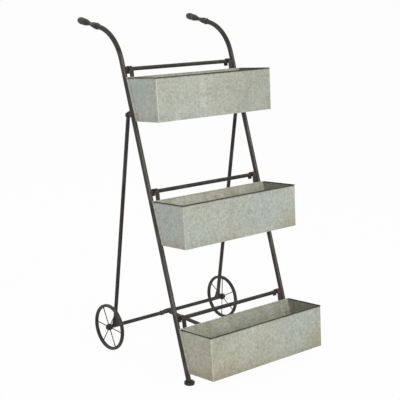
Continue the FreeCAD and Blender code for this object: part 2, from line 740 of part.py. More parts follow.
def corner_laps(along):
    """Flanges of the front and back walls, folded round the corners onto the ends."""
    rim = planter_section(along, 0, 0)
    floor = planter_section(along, PLANTER_HEIGHT, 0)
    laps = []
    for corner, neighbor, side in ((0, 1, -1), (1, 0, -1), (2, 3, 1), (3, 2, 1)):
        outward = X_AXIS * (side * PLANTER_SHEET)
        outlines = []
        for outline in (rim, floor):
            inward = (outline[neighbor] - outline[corner]).normalize() * CORNER_LAP
            edge = outline[corner]
            outlines.append([edge, edge + inward, edge + inward + outward, edge + outward])
        laps.append(tapered_block(outlines[0], outlines[1]))
    return laps


def make_planter_box(along):
    """Open sheet-metal box with a vertical-looking front and a back parallel to the rails."""
    floor_depth = PLANTER_HEIGHT - PLANTER_SHEET
    outer = tapered_block(
        planter_section(along, 0, 0),
        planter_section(along, PLANTER_HEIGHT, 0),
    )
    inner = tapered_block(
        planter_section(along, 0, PLANTER_SHEET),
        planter_section(along, floor_depth, PLANTER_SHEET),
    )
    box = outer.fuse(corner_laps(along))
    return one_solid(box.cut([inner] + rivet_holes(along)))


def make_planter_rim(along):
    """Wired edge round the mouth, mitred at its corners and flush at the back."""
    origin, forward, down = planter_frame(along)
    half = RAIL_X + PLANTER_OVERHANG
    rise = down * -RIM_BEAD_RADIUS
    back = origin + rise + forward * RIM_BEAD_RADIUS
    front = origin + rise + forward * PLANTER_TOP_DEPTH
    corners = [
        (back - X_AXIS * half, X_AXIS * -1 - forward),
        (front - X_AXIS * half, X_AXIS * -1 + forward),
        (front + X_AXIS * half, X_AXIS + forward),
        (back + X_AXIS * half, X_AXIS - forward),
    ]
    overlap = 2 * RIM_BEAD_RADIUS
    beads = []
    for (start, start_miter), (end, end_miter) in zip(corners, corners[1:] + corners[:1]):
        run = (end - start).normalize() * overlap
        between_miters = plate(
            [
                start + start_miter * overlap,
                end + end_miter * overlap,
                end - end_miter * overlap,
                start - start_miter * overlap,
            ],
            2 * overlap,
            down,
        )
        beads.append(rod(start - run, end + run, RIM_BEAD_RADIUS).common(between_miters))
    return one_solid(beads[0].fuse(beads[1:]))


def strap_line(along):
    """Inner line of a hook strap, from its tail behind the bar to its foot on the wall."""
    slack = HOOK_RADIUS - BAR_RADIUS - HOOK_CLEARANCE
    center = rail_point(0, along) - HOOK_UP * slack
    lap = STRAP_THICKNESS - PLANTER_STANDOFF
    back = center + HOOK_BEHIND * HOOK_RADIUS
    front = center - HOOK_BEHIND * HOOK_RADIUS
    crank_top = front - HOOK_UP * STRAP_DROP
    crank_foot = rail_point(0, along - PLANTER_DROP - STRAP_CRANK_FOOT, lap)
    end = rail_point(0, along - PLANTER_DROP - STRAP_LAP, lap)
    hook_edges = [
        line(back - HOOK_UP * STRAP_TAIL, back),
        arc(back, center + HOOK_UP * HOOK_RADIUS, front),
    ]
    crank_edges = rounded_path([front, crank_top, crank_foot, end], STRAP_BEND_RADIUS)
    return Part.Wire(hook_edges + crank_edges)


def make_hooks(along):
    """Two flat straps bent loosely over the bar, cranked forward and lapped on the back wall."""
    edge = strap_line(along).makeOffset2D(STRAP_THICKNESS, 2, True, True)
    straps = []
    for x in strap_xs():
        strap = Part.Face(edge.Wires[0])
        strap.translate(X_AXIS * (x - STRAP_WIDTH / 2))
        straps.append(strap.extrude(X_AXIS * STRAP_WIDTH).cut(rivet_holes(along)))
    return Part.makeCompound(straps)


def make_rivets(along):
    """Rivets through the straps and the wall, with a low head on each side."""
    rivets = []
    for place in rivet_places(along):
        outer = place + BEHIND_RAIL * STRAP_THICKNESS
        inner = place - BEHIND_RAIL * PLANTER_SHEET
        shank = rod(inner, outer, RIVET_RADIUS)
        heads = []
        for seat, way in ((outer, 1), (inner, -1)):
            heads.append(Part.makeCone(
                RIVET_HEAD_RADIUS, RIVET_RADIUS, RIVET_HEAD_HEIGHT, seat, BEHIND_RAIL * way
            ))
        rivets.append(one_solid(shank.fuse(heads)))
    return Part.makeCompound(rivets)


# Assembly

def make_front_frame(parts):
    for side, name in ((-1, "left"), (1, "right")):
        x = side * RAIL_X
        parts[name + "_rail"] = make_rail(x)
        parts[name + "_foot"] = make_foot(x)
        parts[name + "_ferrule"] = make_ferrule(x)
        parts[name + "_grip"] = make_grip(x)
        parts[name + "_pivot_bracket"] = make_pivot_bracket(x)
        parts[name + "_pivot_bolt"] = make_pivot_bolt(side)
        parts[name + "_pivot_nut"] = make_pivot_nut(side)
    for name, along in BAR_ALONGS.items():
        parts[name + "_cross_bar"] = make_cross_bar(along)
    parts["stay_cross_bar"] = make_cross_bar(LOWER_BAR_ALONG)
    parts["stay_bar_collars"] = make_collars(
        rail_point(0, LOWER_BAR_ALONG), BAR_RADIUS, STAY_SLEEVE_LENGTH / 2
    )


def make_rear_frame(parts):
    for side, name in ((-1, "left"), (1, "right")):
        parts[name + "_leg"] = make_leg(side)
        parts[name + "_axle_stub"] = make_axle_stub(side)
        parts[name + "_hub_cap"] = make_hub_cap(side)
    parts["axle_tube"] = make_axle()
    parts["axle_collars"] = make_collars(axle_point(0), AXLE_RADIUS, SADDLE_LENGTH / 2)


def make_wheels(parts):
    for side, name in ((-1, "left"), (1, "right")):
        parts[name + "_wheel_rim"] = make_rim(side)
        parts[name + "_wheel_spokes"] = make_spokes(side)
        parts[name + "_wheel_hub"] = make_hub(side)


def make_centre_stay(parts):
    parts["stay_tube"] = make_stay()
    parts["stay_sleeve"] = make_stay_sleeve()
    parts["stay_saddle"] = make_saddle()


def make_planters(parts):
    for name, along in BAR_ALONGS.items():
        parts[name + "_planter_box"] = make_planter_box(along)
        parts[name + "_planter_rim"] = make_planter_rim(along)
        parts[name + "_planter_hooks"] = make_hooks(along)
        parts[name + "_planter_rivets"] = make_rivets(along)


def build():
    parts = {}
    make_front_frame(parts)
    make_rear_frame(parts)
    make_wheels(parts)
    make_centre_stay(parts)
    make_planters(parts)
    return parts


def export(parts):
    os.makedirs("parts", exist_ok=True)
    for name, shape in parts.items():
        shape.exportStep("parts/" + name + ".step")


if __name__ == "__main__":
    export(build())
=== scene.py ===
"""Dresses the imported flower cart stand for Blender: materials, small details, light, camera."""
import json
import math
from collections import namedtuple

import bmesh
import bpy
from mathutils import Matrix, Vector, noise


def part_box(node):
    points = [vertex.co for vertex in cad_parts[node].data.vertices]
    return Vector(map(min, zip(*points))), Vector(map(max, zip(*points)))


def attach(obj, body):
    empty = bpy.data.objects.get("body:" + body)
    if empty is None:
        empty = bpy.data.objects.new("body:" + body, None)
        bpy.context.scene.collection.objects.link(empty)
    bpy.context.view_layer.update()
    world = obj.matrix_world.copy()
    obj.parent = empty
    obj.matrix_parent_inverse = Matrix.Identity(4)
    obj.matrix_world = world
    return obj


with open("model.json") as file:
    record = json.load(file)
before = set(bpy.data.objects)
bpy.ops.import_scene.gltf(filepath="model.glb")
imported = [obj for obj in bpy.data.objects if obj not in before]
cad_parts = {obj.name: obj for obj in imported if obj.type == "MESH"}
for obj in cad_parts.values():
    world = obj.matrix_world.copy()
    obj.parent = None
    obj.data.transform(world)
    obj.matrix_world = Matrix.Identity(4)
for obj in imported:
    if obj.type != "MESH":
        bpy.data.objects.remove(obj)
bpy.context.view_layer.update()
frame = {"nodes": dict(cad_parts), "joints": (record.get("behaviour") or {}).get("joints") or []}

# Names that repeat in the frame, and the direction that each side, end and level stands for
SIDES = (("left", -1), ("right", 1))
ENDS = (("front", 1), ("back", -1))
LEVELS = (("rim", 1), ("floor", -1))
TIERS = ("top", "middle", "bottom")
CROSS_BARS = ("top_cross_bar", "middle_cross_bar", "bottom_cross_bar", "stay_cross_bar")

# Colours, as linear light
IRON_DARK = (0.023, 0.0195, 0.0165, 1)
IRON_MID = (0.052, 0.0455, 0.039, 1)
# Pale worn iron, which is also the colour of the rails' painted highlight
IRON_WORN_AND_HIGHLIGHT = (0.150, 0.138, 0.124, 1)
RUST_DEEP = (0.054, 0.027, 0.020, 1)
RUST_BRIGHT = (0.120, 0.078, 0.045, 1)
WIRE_PALE = (0.300, 0.285, 0.262, 1)
ZINC_COOL = (0.400, 0.426, 0.372, 1)
ZINC_BLUE = (0.385, 0.420, 0.388, 1)
ZINC_WARM = (0.430, 0.428, 0.350, 1)
ZINC_DULL = (0.305, 0.318, 0.260, 1)
ZINC_KHAKI = (0.375, 0.365, 0.275, 1)
ZINC_TAN = (0.350, 0.322, 0.220, 1)
ZINC_PALE = (0.510, 0.502, 0.410, 1)
# Dark zinc: the painted shade on the inner end walls, and the darkened right front folds
ZINC_DARK = (0.125, 0.115, 0.085, 1)
ZINC_STAIN = (0.235, 0.180, 0.115, 1)
ZINC_EDGE = (0.680, 0.680, 0.610, 1)
FLOOR_WHITE = (0.95, 0.95, 0.95, 1)
WHITE = (1, 1, 1, 1)

# Camera, solved from the photograph's perspective: place in metres, angles in degrees, and the
# lens and the sensor in millimetres
CAMERA_X = -2.1632
CAMERA_Y_FROM_FEET = -2.2868
CAMERA_Z = 1.3145
CAMERA_YAW = 40.691
CAMERA_PITCH = -13.631
CAMERA_ROLL = 0.7226
CAMERA_LENS = 93.33
CAMERA_SENSOR = 36

# How far the camera sees, in metres
CAMERA_REACH = 200

# Soft lamps: place, the point each aims at and its width in metres, and its power in watts
Lamp = namedtuple("Lamp", "name place aim width power")
LAMPS = (
    Lamp("key", (0.5, -3.4, 2.4), (0, 0, 0.5), 2.4, 79),
    Lamp("side", (-3.4, -0.9, 1.2), (0, 0, 0.5), 1.6, 27),
    Lamp("back", (-0.6, 2.6, 2.6), (0, 0, 0.6), 2.2, 18),
)

# Sky and floor: the floor's width in metres, and how much of what the camera sees of it is plain
# white, which leaves the rest to the shadow
SKY_STRENGTH = 0.42
FLOOR_WIDTH = 60
FLOOR_ROUGHNESS = 0.9
FLOOR_GLOW = 0.965

# The noise over which every finish goes from its smoothest to its roughest
ROUGHNESS_WINDOW = (0.30, 0.70)

# Iron: the stretch of noise, low to high, over which each layer of the finish comes in and, where
# it isn't from 0 to 1, what it gives at either end; then the layers' shares
IRON_MOTTLE = (0.32, 0.68)
IRON_STREAKS = (0.50, 0.76)
IRON_PATCHES = (0.30, 0.58, 0.45, 1.0)
IRON_SPECKS = (0.62, 0.74)
RUST_FRECKLES = (0.60, 0.72)
RUST_RAGGED = (0.34, 0.62, 0.10, 1.0)
RUST_CRUST = (0.46, 0.62)
IRON_SPECK_SHARE = 0.35
RUST_FRECKLE_SHARE = 0.35
RUST_DEEP_SHARE = 0.68
RUST_BRIGHT_SHARE = 0.40
IRON_ROUGHNESS = (0.42, 0.58)

# How much of the fine and of the broad noise goes into the iron's relief
IRON_FINE_RELIEF = 0.6
IRON_CLOUD_RELIEF = 0.8

# The side of the rails that carries a painted highlight, patchy like rubbed wear, how squarely a face
# has to turn that way to carry it, and how strong it is
HIGHLIGHT_SIDE = (-0.36, -0.93, 0.05)
HIGHLIGHT_FACING = (0.90, 0.99)
HIGHLIGHT_SHARE = 0.80

# How far rust spreads from each joint, in metres: it covers the axle's collars
RUST_REACH = {
    "rail": 0.028, "foot": 0.012, "pivot": 0.020, "leg": 0.026, "hub": 0.014,
    "bar": 0.034, "stay": 0.034, "axle": 0.030, "hook": 0.030, "collar": 2.0,
}

# How far the finish is rubbed, from 0 to 1, where it isn't the usual
USUAL_WEAR = 0.5
WEAR = {
    "foot": 0.7, "turned": 0.65, "hub": 0.7, "rim": 0.6, "spoke": 0.6, "weld": 0.3, "collar": 0.9,
}

# How coarse the grain is on the turned ends and on the welds
TURNED_GRAIN = 0.7
WELD_GRAIN = 0.6

# Dark and light tone of each wheel's spokes: the right one's are paler
SPOKE_TONES = {"left": (IRON_DARK, IRON_MID), "right": (IRON_WORN_AND_HIGHLIGHT, WIRE_PALE)}

# How warm, and how dull, each planter has weathered at its left and right ends, from 0 to 1
WARMTH = {"top": (0.35, 0.60), "middle": (0.45, 0.40), "bottom": (0.70, 0.40)}
DULLNESS = {"top": (0.00, 0.80), "middle": (0.20, 0.30), "bottom": (0.20, 0.35)}

# Tone of the outside ends of each planter, and its share
END_TONE = {"top": (ZINC_BLUE, 0.30), "middle": (ZINC_BLUE, 0.60), "bottom": (ZINC_KHAKI, 0.55)}

# How pale each planter is inside, from 0 to 1
PALE_INSIDE = {"top": 0.45, "middle": 0.45, "bottom": 0.12}

# Patches on each front: share of the way across and of the height, reach in metres, tone, strength
Patch = namedtuple("Patch", "across up reach tone strength")
PATCHES = {
    "top": (
        Patch(0.08, 0.85, 0.110, ZINC_KHAKI, 0.65),
        Patch(0.30, 0.05, 0.100, ZINC_BLUE, 0.60),
    ),
    "middle": (
        Patch(0.07, 0.25, 0.100, ZINC_BLUE, 0.85),
        Patch(0.72, 0.75, 0.150, ZINC_BLUE, 0.75),
        Patch(0.08, 0.92, 0.085, ZINC_KHAKI, 0.70),
        Patch(0.37, 0.35, 0.080, ZINC_KHAKI, 0.45),
        Patch(0.95, 0.22, 0.085, ZINC_TAN, 0.75),
    ),
    "bottom": (
        Patch(0.78, 0.70, 0.150, ZINC_BLUE, 0.65),
        Patch(0.05, 0.92, 0.075, ZINC_KHAKI, 0.60),
        Patch(0.10, 0.08, 0.110, ZINC_TAN, 0.75),
        Patch(0.50, 0.05, 0.110, ZINC_KHAKI, 0.60),
        Patch(0.93, 0.25, 0.080, ZINC_TAN, 0.65),
    ),
}

# How strong the painted highlight down each planter's left front fold is, and how far the right front
# fold is darkened
FOLD_HIGHLIGHT = {"top": 0.85, "middle": 0.40, "bottom": 0.50}
FOLD_DARKENING = 0.35

# Zinc: distances in metres that its stains, the fold highlight and darkening, and the darker rim band
# reach
STAIN_HEIGHT = 0.050
BLOT_REACH = 0.075
FOLD_REACH = 0.0034
RIM_REACH = 0.0042

# The wired edge turns pale at the back: where that begins and where it is full, in metres
# before its rearmost point
RIM_PALE_FROM = 0.012
RIM_PALE_FULL = 0.004

# Zinc: the stretch of noise, low to high, over which each layer comes in and, where it isn't
# from 0 to 1, what it gives at either end
ZINC_MOTTLE = (0.38, 0.62)
ZINC_SWING = (0.30, 0.70)
ZINC_DRIPS = (0.55, 0.75)
ZINC_PATCHES = (0.32, 0.62, 0.35, 1.0)
INSIDE_MOTTLE = (0.35, 0.68)
INSIDE_COOL = (0.45, 0.60)
INSIDE_KHAKI = (0.42, 0.62)
INSIDE_DRIPS = (0.52, 0.70)
STAINS = (0.42, 0.60)
BLOTS = (0.36, 0.58)
GRAIN_SHADE = (0.52, 1.10, 0.76, 1.24)
FOLD_STREAKS = (0.30, 0.55, 0.35, 1.0)
RIM_BAND = (0.30, 0.60, 0.60, 1.0)

# How squarely a face turns sideways to be an end of a planter, and outward to be outside
END_FACING = (0.5, 0.9)
OUTSIDE_FACING = (-0.002, 0.002)

# Each planter's noise is moved by its height, times these, and that of its patches once more
SHIFT_ACROSS = 3.1
SHIFT_ALONG = 1.7
PATCH_SHIFT = 4

# How much of each noise goes into the zinc's light and dark grain, and into its relief
GRAIN_IN_SHADE = 0.9
FINE_IN_SHADE = 0.6
SPANGLE_IN_SHADE = 0.12
GRAIN_RELIEF = 0.5
BROAD_RELIEF = 2.4

# Zinc: how far the clouds swing its warmth and its dullness, and the shares of its layers
WARM_SWING = 0.22
DULL_SWING = 0.35
DULL_SHARE = 0.70
DRIP_SHARE = 0.15
INSIDE_COOL_SHARE = 0.50
INSIDE_KHAKI_SHARE = 0.60
INSIDE_DRIP_SHARE = 0.35
# The inner end walls' share is painted shade
INSIDE_END_SHADE = 0.48
STAIN_SHARE = 0.45
BLOT_SHARE = 0.30
RIM_BAND_SHARE = 0.85
ZINC_ROUGHNESS = (0.46, 0.62)

# The same for the wired edge and the solder
WIRE_MOTTLE = (0.35, 0.65)
WIRE_SPECKS = (0.50, 0.70)
WIRE_BACK_MOTTLE = (0.40, 0.66)
WIRE_PATCHES = (0.25, 0.50, 0.70, 1.0)
WIRE_SPECK_SHARE = 0.15
WIRE_ROUGHNESS = (0.50, 0.65)
SOLDER_MOTTLE = (0.35, 0.65)
SOLDER_SPECKS = (0.5, 0.7)
SOLDER_SPECK_SHARE = 0.35
SOLDER_ROUGHNESS = (0.38, 0.55)

# A corner of a planter is its farthest point in a direction that leans across and up this much
CORNER_PULL_ACROSS = 4
CORNER_PULL_UP = 2

# How far inside the rails the planters' hooks hang, in metres
HOOK_INSET = 0.02

# Sheet metal of the planters and the tabs in their inner corners, in metres
SHEET = 0.001
TAB_WIDTH = 0.012
TAB_THICKNESS = SHEET * 0.6
TAB_INSET = SHEET * 0.8

# Share of a corner's height left free at each end of a tab, and how its width wavers along it
TAB_MARGIN = 0.02
TAB_WAVER = 0.10
TAB_GRAIN = 60
TAB_STEPS = 12

# Weld beads round the ends of the cross bars: thickness in metres, the points round a bar and
# across a bead, and its lumps and ripples as shares of the thickness
BEAD_THICKNESS = 0.0016
BEAD_AROUND = 40
BEAD_ACROSS = 8
BEAD_LUMPS = 0.28
BEAD_GRAIN = 3.3
BEAD_RIPPLES = 14
BEAD_RIPPLE_SHARE = 0.10

# The weld on each leg, in metres: how far it flares toward the middle, on the left and the right
# leg, and outward, how thick it is on the leg, and how high it reaches
FILLET_INWARD = {-1: 0.0150, 1: 0.0105}
FILLET_OUTWARD = 0.0044
FILLET_SKIN = 0.0005
FILLET_RISE = 0.034

# How far above the axle's middle it begins, in bar radii, how hollow its flare is, the points round
# it and the rings up it, and its lumps
FILLET_FOOT = 0.2
FILLET_CURVE = 1.4
FILLET_AROUND = 48
FILLET_RINGS = 12
FILLET_LUMPS = 0.20
FILLET_GRAIN = 3.1
FILLET_CHANGE = 3

# Rolled lip at each end of the axle's collars, in metres
LIP_RADIUS = 0.0013

# How far apart the noise of one weld is from that of the next
SEED_STEP = 1.7

# Sockets of the colour mixing node, which share their names with its other kinds
MIX_FACTOR = 0
MIX_FIRST = 6
MIX_SECOND = 7
MIX_RESULT = 2


def joint(name):
    return next(entry for entry in frame["joints"] if entry["name"] == name)


def center_of(node):
    low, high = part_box(node)
    return (low + high) / 2


def size_of(node):
    low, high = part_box(node)
    return high - low


# The frame's own measures, in metres; AXLE is the middle of the left wheel
FEET_Y = center_of("left_foot").y
AXLE = Vector(joint("left_wheel_spin")["pos_m"])
PIVOT = Vector(joint("leg_fold")["pos_m"])
RAIL_X = center_of("right_foot").x
BAR_RADIUS = size_of("top_cross_bar").z / 2
RAIL_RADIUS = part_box("right_rail")[1].x - RAIL_X
COLLAR_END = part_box("axle_collars")[1].x
COLLAR_RADIUS = size_of("axle_collars").z / 2


def at_rail(side, place):
    """The point beside the given place, in the middle of one rail."""
    return Vector((side * RAIL_X, place.y, place.z))


def at_middle(place):
    """The point beside the given place, halfway between the rails."""
    return Vector((0, place.y, place.z))


class Nodes:
    """Short helper for building one material's node tree."""

    def __init__(self, name):
        self.material = bpy.data.materials.new(name)
        self.material.use_nodes = True
        self.tree = self.material.node_tree
        self.shader = self.tree.nodes["Principled BSDF"]
        coordinates = self.add("ShaderNodeTexCoord")
        self.here = coordinates.outputs["Object"]
        self.normal = coordinates.outputs["Normal"]

    def add(self, kind, settings=None, inputs=None):
        node = self.tree.nodes.new(kind)
        for key, value in (settings or {}).items():
            setattr(node, key, value)
        for key, value in (inputs or {}).items():
            self.put(node.inputs[key], value)
        return node

    def put(self, socket, value):
        if isinstance(value, bpy.types.NodeSocket):
            self.tree.links.new(value, socket)
        else:
            socket.default_value = value

    def mapped(self, offset, stretch):
        node = self.add("ShaderNodeMapping", inputs={
            "Vector": self.here, "Location": offset, "Scale": stretch,
        })
        return node.outputs["Vector"]

    def noise(self, scale, detail, roughness, offset=(0, 0, 0), stretch=(1, 1, 1)):
        texture = self.add("ShaderNodeTexNoise", inputs={
            "Vector": self.mapped(offset, stretch), "Scale": scale,
            "Detail": detail, "Roughness": roughness,
        })
        return texture.outputs["Fac"]

    def cells(self, scale, offset):
        """A random shade for each cell of a crystal pattern."""
        texture = self.add("ShaderNodeTexVoronoi", inputs={
            "Vector": self.mapped(offset, (1, 1, 1)), "Scale": scale,
        })
        split = self.add("ShaderNodeSeparateColor", inputs={"Color": texture.outputs["Color"]})
        return split.outputs["Red"]

    def ramp(self, value, low, high, out_low=0.0, out_high=1.0):
        """The value taken smoothly from out_low at low to out_high at high."""
        node = self.add("ShaderNodeMapRange", {"interpolation_type": "SMOOTHSTEP"}, {
            "Value": value, "From Min": low, "From Max": high,
            "To Min": out_low, "To Max": out_high,
        })
        return node.outputs["Result"]

    def reckon(self, operation, first, second=0.0):
        node = self.add("ShaderNodeMath", {"operation": operation})
        self.put(node.inputs[0], first)
        self.put(node.inputs[1], second)
        return node.outputs["Value"]

    def times(self, first, second):
        return self.reckon("MULTIPLY", first, second)

    def plus(self, first, second):
        return self.reckon("ADD", first, second)

    def vector(self, operation, first, second=None):
        node = self.add("ShaderNodeVectorMath", {"operation": operation})
        self.put(node.inputs[0], first)
        if second is not None:
            self.put(node.inputs[1], second)
        output = "Value" if operation in ("DOT_PRODUCT", "DISTANCE", "LENGTH") else "Vector"
        return node.outputs[output]

    def axis(self, name):
        split = self.add("ShaderNodeSeparateXYZ", inputs={"Vector": self.here})
        return split.outputs[name]

    def mix(self, factor, first, second, blend="MIX"):
        node = self.add("ShaderNodeMix", {"data_type": "RGBA", "blend_type": blend})
        self.put(node.inputs[MIX_FACTOR], factor)
        self.put(node.inputs[MIX_FIRST], first)
        self.put(node.inputs[MIX_SECOND], second)
        return node.outputs[MIX_RESULT]

    def over(self, base, color, amount, share):
        """The base with a colour laid over it, by an amount from 0 to 1 that is cut to a share."""
        return self.mix(self.times(amount, share), base, color)

    def near(self, points, reach):
        """1 at any of the points, falling to 0 at the given reach from them."""
        closest = None
        for point in points:
            gap = self.vector("DISTANCE", self.here, tuple(point))
            closest = gap if closest is None else self.reckon("MINIMUM", closest, gap)
        return self.ramp(closest, 0.0, reach, 1.0, 0.0)

    def near_line(self, start, end, reach):
        """1 along the straight line through two points, falling to 0 at the given reach."""
        along = (end - start).normalized()
        offset = self.vector("SUBTRACT", self.here, tuple(start))
        gap = self.vector("LENGTH", self.vector("CROSS_PRODUCT", offset, tuple(along)))
        return self.ramp(gap, 0.0, reach, 1.0, 0.0)

    def bump(self, height, strength, distance):
        node = self.add("ShaderNodeBump", inputs={
            "Height": height, "Strength": strength, "Distance": distance,
        })
        self.put(self.shader.inputs["Normal"], node.outputs["Normal"])

    def finish(self, color, cloud, roughness, metallic, specular):
        """Sets the shader, with a roughness that the cloud takes between its two values."""
        rough = self.ramp(cloud, *ROUGHNESS_WINDOW, *roughness)
        self.put(self.shader.inputs["Base Color"], color)
        self.put(self.shader.inputs["Roughness"], rough)
        self.put(self.shader.inputs["Metallic"], metallic)
        self.put(self.shader.inputs["Specular IOR Level"], specular)
        return self.material


def aged_iron(
    name, rusty_points=(), rust_reach=0.0, wear=USUAL_WEAR, grain=1.0,
    tones=(IRON_DARK, IRON_MID), painted_highlight=0.0,
):
    """Dark antique finish on iron, rubbed paler in places, with rust where parts meet and an optional
    painted highlight.
    """
    nodes = Nodes(name)
    cloud = nodes.noise(scale=16.0, detail=6.0, roughness=0.62)
    fine = nodes.noise(scale=190.0 * grain, detail=3.0, roughness=0.5, offset=(3, 1, 2))
    streak = nodes.noise(
        scale=42.0, detail=5.0, roughness=0.6, offset=(7, 5, 0), stretch=(1, 1, 0.25),
    )
    freckle = nodes.noise(scale=60.0, detail=4.0, roughness=0.7, offset=(1, 9, 4))
    base = nodes.mix(nodes.ramp(cloud, *IRON_MOTTLE), *tones)
    base = nodes.over(base, IRON_WORN_AND_HIGHLIGHT, nodes.ramp(streak, *IRON_STREAKS), wear)
    # Painted highlight: a patchy pale stripe on the faces turned toward the highlight side
    if painted_highlight:
        facing = nodes.ramp(nodes.vector("DOT_PRODUCT", nodes.normal, HIGHLIGHT_SIDE), *HIGHLIGHT_FACING)
        patchy = nodes.times(facing, nodes.ramp(streak, *IRON_PATCHES))
        base = nodes.over(base, IRON_WORN_AND_HIGHLIGHT, patchy, painted_highlight)
    base = nodes.over(base, IRON_WORN_AND_HIGHLIGHT, nodes.ramp(fine, *IRON_SPECKS), IRON_SPECK_SHARE)
    base = nodes.over(base, RUST_DEEP, nodes.ramp(freckle, *RUST_FRECKLES), RUST_FRECKLE_SHARE)
    if rusty_points:
        ragged = nodes.times(nodes.near(rusty_points, rust_reach), nodes.ramp(cloud, *RUST_RAGGED))
        base = nodes.over(base, RUST_DEEP, ragged, RUST_DEEP_SHARE)
        crust = nodes.times(ragged, nodes.ramp(fine, *RUST_CRUST))
        base = nodes.over(base, RUST_BRIGHT, crust, RUST_BRIGHT_SHARE)
    relief = nodes.plus(nodes.times(fine, IRON_FINE_RELIEF), nodes.times(cloud, IRON_CLOUD_RELIEF))
    nodes.bump(relief, strength=0.25, distance=0.0010)
    return nodes.finish(base, cloud, IRON_ROUGHNESS, metallic=0.15, specular=0.25)


def planter_corners(tier):
    """Outer corners of a planter: left and right, front and back, each at the rim and the floor."""
    vertices = frame["nodes"][tier + "_planter_box"].data.vertices
    points = [Vector(vertex.co) for vertex in vertices]
    corners = {}
    for name, side in SIDES:
        for end, forward in ENDS:
            for level, upward in LEVELS:
                away = Vector((side * CORNER_PULL_ACROSS, -forward, upward * CORNER_PULL_UP))
                corners[name, end, level] = max(points, key=away.dot)
    return corners


class Galvanized(Nodes):
    """Mottled, weathered zinc: cool outside, its left front fold with a painted highlight and its
    right one darkened; olive and stained inside, its end walls with painted shade.
    """

    def __init__(self, tier):
        super().__init__(tier + "_zinc")
        self.tier = tier
        self.low, self.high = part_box(tier + "_planter_box")
        self.middle = (self.low + self.high) / 2
        self.corners = planter_corners(tier)
        shift = (self.middle.z * SHIFT_ACROSS, self.middle.z * SHIFT_ALONG, 0.0)
        patch_shift = (shift[0] + PATCH_SHIFT, 2, 1)
        self.broad = self.noise(scale=5.5, detail=3.0, roughness=0.5, offset=shift)
        self.cloud = self.noise(scale=15.0, detail=6.0, roughness=0.60, offset=shift)
        self.patch = self.noise(scale=9.0, detail=5.0, roughness=0.6, offset=patch_shift)
        self.grain = self.noise(scale=130.0, detail=3.0, roughness=0.65, offset=shift)
        self.fine = self.noise(scale=330.0, detail=3.0, roughness=0.6, offset=shift)
        self.drip = self.noise(
            scale=38.0, detail=4.0, roughness=0.55, offset=shift, stretch=(1, 1, 0.18),
        )
        self.spangle = self.cells(scale=105.0, offset=shift)
        sideways = self.reckon("ABSOLUTE", self.vector("DOT_PRODUCT", self.normal, (1, 0, 0)))
        self.end_face = self.ramp(sideways, *END_FACING)

    def across(self, ends, clouds, swing):
        """A value that goes from the left end to the right end, and swings with the clouds."""
        along = self.ramp(self.axis("X"), self.low.x, self.high.x, *ends)
        return self.plus(along, self.ramp(clouds, *ZINC_SWING, -swing, swing))

    def front_point(self, patch):
        """Where the middle of a patch lies on the planter's front."""
        left = self.corners["left", "front", "rim"].x
        right = self.corners["right", "front", "rim"].x
        height = self.high.z - self.low.z
        return Vector((
            left + (right - left) * patch.across,
            self.low.y,
            self.low.z + height * patch.up,
        ))

    def outside(self):
        warm = self.across(WARMTH[self.tier], self.broad, WARM_SWING)
        dull = self.across(DULLNESS[self.tier], self.patch, DULL_SWING)
        color = self.mix(self.ramp(self.cloud, *ZINC_MOTTLE), ZINC_COOL, ZINC_BLUE)
        color = self.mix(self.ramp(warm, 0.0, 1.0), color, ZINC_WARM)
        color = self.over(color, ZINC_DULL, self.ramp(dull, 0.0, 1.0), DULL_SHARE)
        color = self.over(color, ZINC_EDGE, self.ramp(self.drip, *ZINC_DRIPS), DRIP_SHARE)
        for patch in PATCHES[self.tier]:
            nearby = self.near([self.front_point(patch)], patch.reach)
            patchy = self.times(nearby, self.ramp(self.patch, *ZINC_PATCHES))
            color = self.over(color, patch.tone, patchy, patch.strength)
        end_tone, end_share = END_TONE[self.tier]
        return self.over(color, end_tone, self.end_face, end_share)

    def inside(self):
        color = self.mix(self.ramp(self.cloud, *INSIDE_MOTTLE), ZINC_DULL, ZINC_WARM)
        color = self.over(color, ZINC_COOL, self.ramp(self.broad, *INSIDE_COOL), INSIDE_COOL_SHARE)
        color = self.mix(PALE_INSIDE[self.tier], color, ZINC_PALE)
        color = self.over(color, ZINC_KHAKI, self.ramp(self.patch, *INSIDE_KHAKI), INSIDE_KHAKI_SHARE)
        color = self.over(color, ZINC_STAIN, self.ramp(self.drip, *INSIDE_DRIPS), INSIDE_DRIP_SHARE)
        # Painted shade: the inner end walls are darkened
        return self.over(color, ZINC_DARK, self.end_face, INSIDE_END_SHADE)

    def facing_out(self):
        """1 on the outer faces of the box and 0 on the inner ones."""
        from_middle = self.vector("SUBTRACT", self.here, tuple(self.middle))
        return self.ramp(self.vector("DOT_PRODUCT", self.normal, from_middle), *OUTSIDE_FACING)

    def stained(self, color):
        """Brown stains along the bottom, and a blot at each front corner."""
        lower = self.ramp(self.axis("Z"), self.low.z, self.low.z + STAIN_HEIGHT, 1.0, 0.0)
        stain = self.times(lower, self.ramp(self.broad, *STAINS))
        color = self.over(color, ZINC_STAIN, stain, STAIN_SHARE)
        for name, _ in SIDES:
            corner = self.near([self.corners[name, "front", "floor"]], BLOT_REACH)
            blot = self.times(corner, self.ramp(self.cloud, *BLOTS))
            color = self.over(color, ZINC_STAIN, blot, BLOT_SHARE)
        return color

    def mottled(self, color):
        """The fine light and dark grain of the zinc, multiplied over its colour."""
        fine = self.times(self.fine, FINE_IN_SHADE)
        crystals = self.plus(fine, self.times(self.spangle, SPANGLE_IN_SHADE))
        mottle = self.plus(self.times(self.grain, GRAIN_IN_SHADE), crystals)
        shade = self.ramp(mottle, *GRAIN_SHADE)
        tint = self.add("ShaderNodeCombineColor", inputs={
            "Red": shade, "Green": shade, "Blue": shade,
        })
        return self.mix(1.0, color, tint.outputs["Color"], "MULTIPLY")

    def fold_highlight_and_darkening(self, color):
